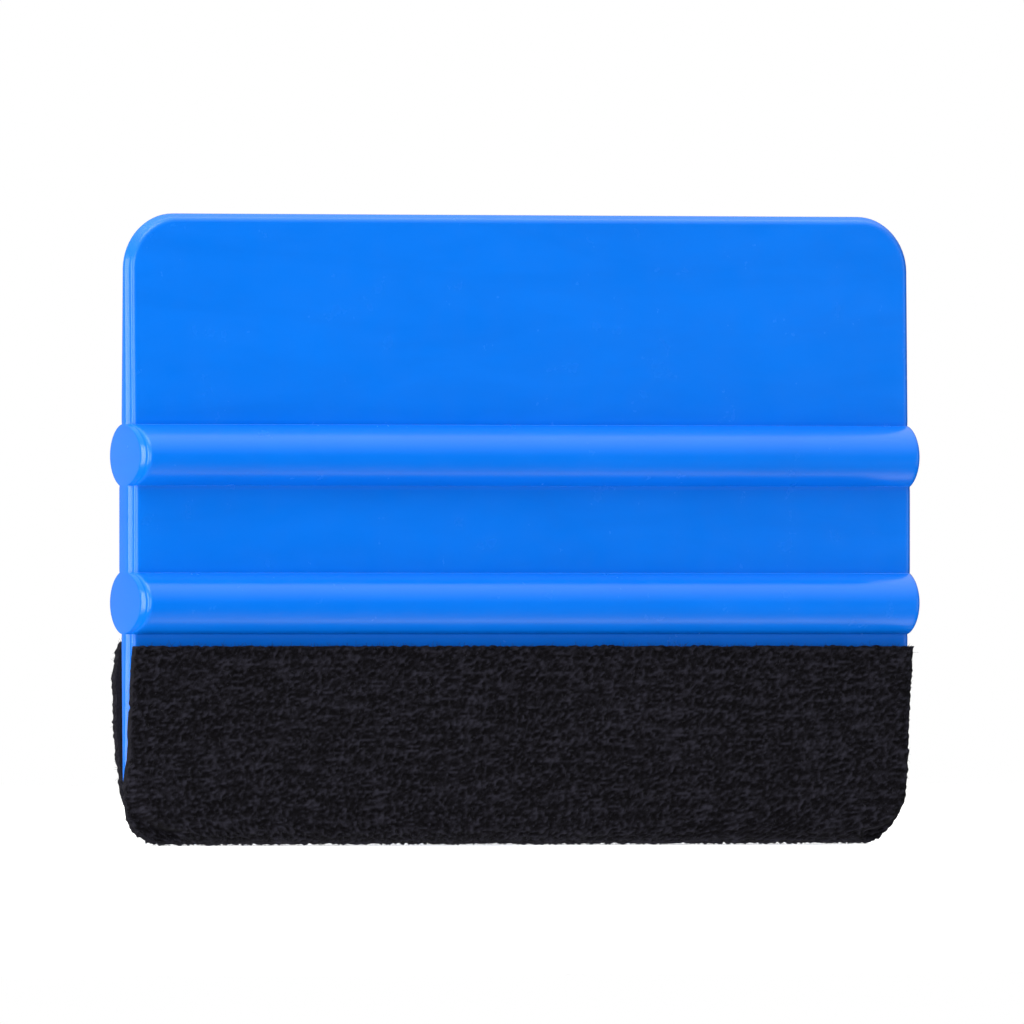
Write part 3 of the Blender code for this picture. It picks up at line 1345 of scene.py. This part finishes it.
@dataclass
class Studio:
    """The pale floor, the soft lights and the camera."""

    center: Vector = field(default_factory=lambda: Vector((0.0, 0.0, 0.037)))
    floor_side: float = 3.0
    floor_lines: int = 9
    azimuth: float = -27.0
    distance: float = 4.6
    eye_height: float = 26.0 * MM
    aim_height: float = 38.65 * MM
    aim_side: float = -0.52 * MM
    frame_width: float = 118.85 * MM
    sensor: float = 36.0
    zenith: float = 2.1
    falloff: float = 1.5
    # Each is a name, azimuth, elevation, distance, width, height and brightness.
    lights: tuple[Softbox, ...] = (
        Softbox("overhead_softbox", -35.0, 60.0, 0.70, 0.45, 0.40, 4.0),
        Softbox("frontal_softbox", -40.0, -3.0, 1.00, 0.70, 0.75, 4.3),
        Softbox("right_fill_panel", 52.0, -6.0, 0.70, 0.30, 0.60, 1.6),
        Softbox("rear_fill_panel", 165.0, 15.0, 1.00, 0.90, 0.80, 2.4, False),
        Softbox("under_table_panel", -27.0, -85.0, 0.60, 1.00, 1.00, 2.5, False),
        Softbox("left_strip", -87.0, 2.0, 0.60, 0.20, 0.36, 8.3),
        Softbox("rear_left_panel", -152.0, 10.0, 0.60, 0.40, 0.50, 0.65),
        Softbox("low_strip", 88.0, -62.0, 0.50, 0.22, 0.14, 1.1),
    )

    def build_floor(self) -> bpy.types.Object:
        """Lay the floor at z = 0, as a plain grid.

        It takes the object's shadow, but throws no light and no reflection back at it.

        Returns:
            The floor's object.
        """
        line = np.linspace(-self.floor_side / 2, self.floor_side / 2, self.floor_lines)
        x, y = np.meshgrid(line, line)
        points = np.stack([x.ravel(), y.ravel(), np.zeros(x.size)], axis=1)
        floor = mesh_piece(
            "studio_floor", PALE_BOARD.material(), points, grid_quads(*x.shape, 0, False)
        )
        floor.visible_diffuse = False
        floor.visible_glossy = False
        floor.visible_shadow = False
        return floor

    def build_world(self) -> bpy.types.World:
        """Make the backdrop: white to look at, and a soft dome of light on the object.

        The dome's brightness is zenith times the upward part of the direction to the power of
        falloff, so it is brightest overhead and dark at the horizon.

        Returns:
            The world.
        """
        world = bpy.data.worlds.new("white_backdrop")
        world.use_nodes = True
        tree = world.node_tree
        tree.nodes.clear()
        path = add_node(tree, "ShaderNodeLightPath")
        seen = add_node(
            tree, "ShaderNodeBackground", {"Color": linear("#ffffff"), "Strength": 1.0}
        )
        toward = add_node(tree, "ShaderNodeTexCoord").outputs["Generated"]
        parts = add_node(tree, "ShaderNodeSeparateXYZ", None, {"Vector": toward})
        value = parts.outputs["Z"]
        for operation, number in (
            ("MAXIMUM", 0.0),
            ("POWER", self.falloff),
            ("MULTIPLY", self.zenith),
        ):
            step = add_node(tree, "ShaderNodeMath", {"operation": operation, 1: number}, {0: value})
            value = step.outputs["Value"]
        lit = add_node(
            tree, "ShaderNodeBackground", {"Color": linear("#ffffff")}, {"Strength": value}
        )
        mixed = add_node(
            tree,
            "ShaderNodeMixShader",
            None,
            {
                0: path.outputs["Is Camera Ray"],
                1: lit.outputs["Background"],
                2: seen.outputs["Background"],
            },
        )
        add_node(tree, "ShaderNodeOutputWorld", None, {"Surface": mixed.outputs["Shader"]})
        bpy.context.scene.world = world
        return world

    def build_camera(self) -> bpy.types.Object:
        """Set the camera at the object's three-quarter view, with a long lens.

        The lens is the sensor's width times the distance, over the width that the frame takes in.

        Returns:
            The camera's object.
        """
        a = math.radians(self.azimuth)
        back = Vector((math.sin(a), -math.cos(a), 0.0))
        right = Vector((math.cos(a), math.sin(a), 0.0))
        aim = right * self.aim_side + Vector((0.0, 0.0, self.aim_height))
        eye = back * self.distance + right * self.aim_side + Vector((0.0, 0.0, self.eye_height))
        data = bpy.data.cameras.new("studio_camera")
        data.sensor_width = self.sensor
        data.lens = self.sensor * self.distance / self.frame_width
        data.clip_start, data.clip_end = 0.05, 60.0
        camera = bpy.data.objects.new("studio_camera", data)
        put_facing(camera, eye, aim)
        bpy.context.scene.camera = camera
        return camera

    def build(self) -> None:
        """Build the floor, the backdrop, the lights and the camera."""
        self.build_floor()
        self.build_world()
        for light in self.lights:
            light.build(self.center)
        self.build_camera()
        view = bpy.context.scene.view_settings
        view.view_transform = "Standard"
        view.look = "None"


def corners(box: tuple[Vector, Vector]) -> list[list[float]]:
    """Give a box's two corners as plain lists of numbers."""
    return [[float(value) for value in corner] for corner in box]


def report(piece: bpy.types.Object) -> None:
    """Log a piece's name, triangle count and size.

    Args:
        piece: The finished piece.
    """
    piece.data.calc_loop_triangles()
    size = " x ".join(f"{value / MM:.2f}" for value in piece.dimensions)
    LOG.info("%s: %d triangles, %s mm", piece.name, len(piece.data.loop_triangles), size)


def main() -> None:
    """Build every piece in order and report it."""
    logging.basicConfig(level=logging.INFO, format="%(name)s: %(message)s")
    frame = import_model()
    card = CardBody.from_frame(frame)
    felt_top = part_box("felt_wrap")[1].z
    form = FoldedForm(card=card, front_top=felt_top - FRONT_FLAP_SHORTER, rear_top=felt_top)
    moulded = card.build()
    film = TapeFilm(form).build()
    felt = FeltStrip(form).build()
    fuzz = FeltFuzz(form).build()
    bpy.context.view_layer.update()
    for piece in (moulded, film, felt, fuzz):
        report(piece)
    Studio().build()


if __name__ == "__main__":
    main()
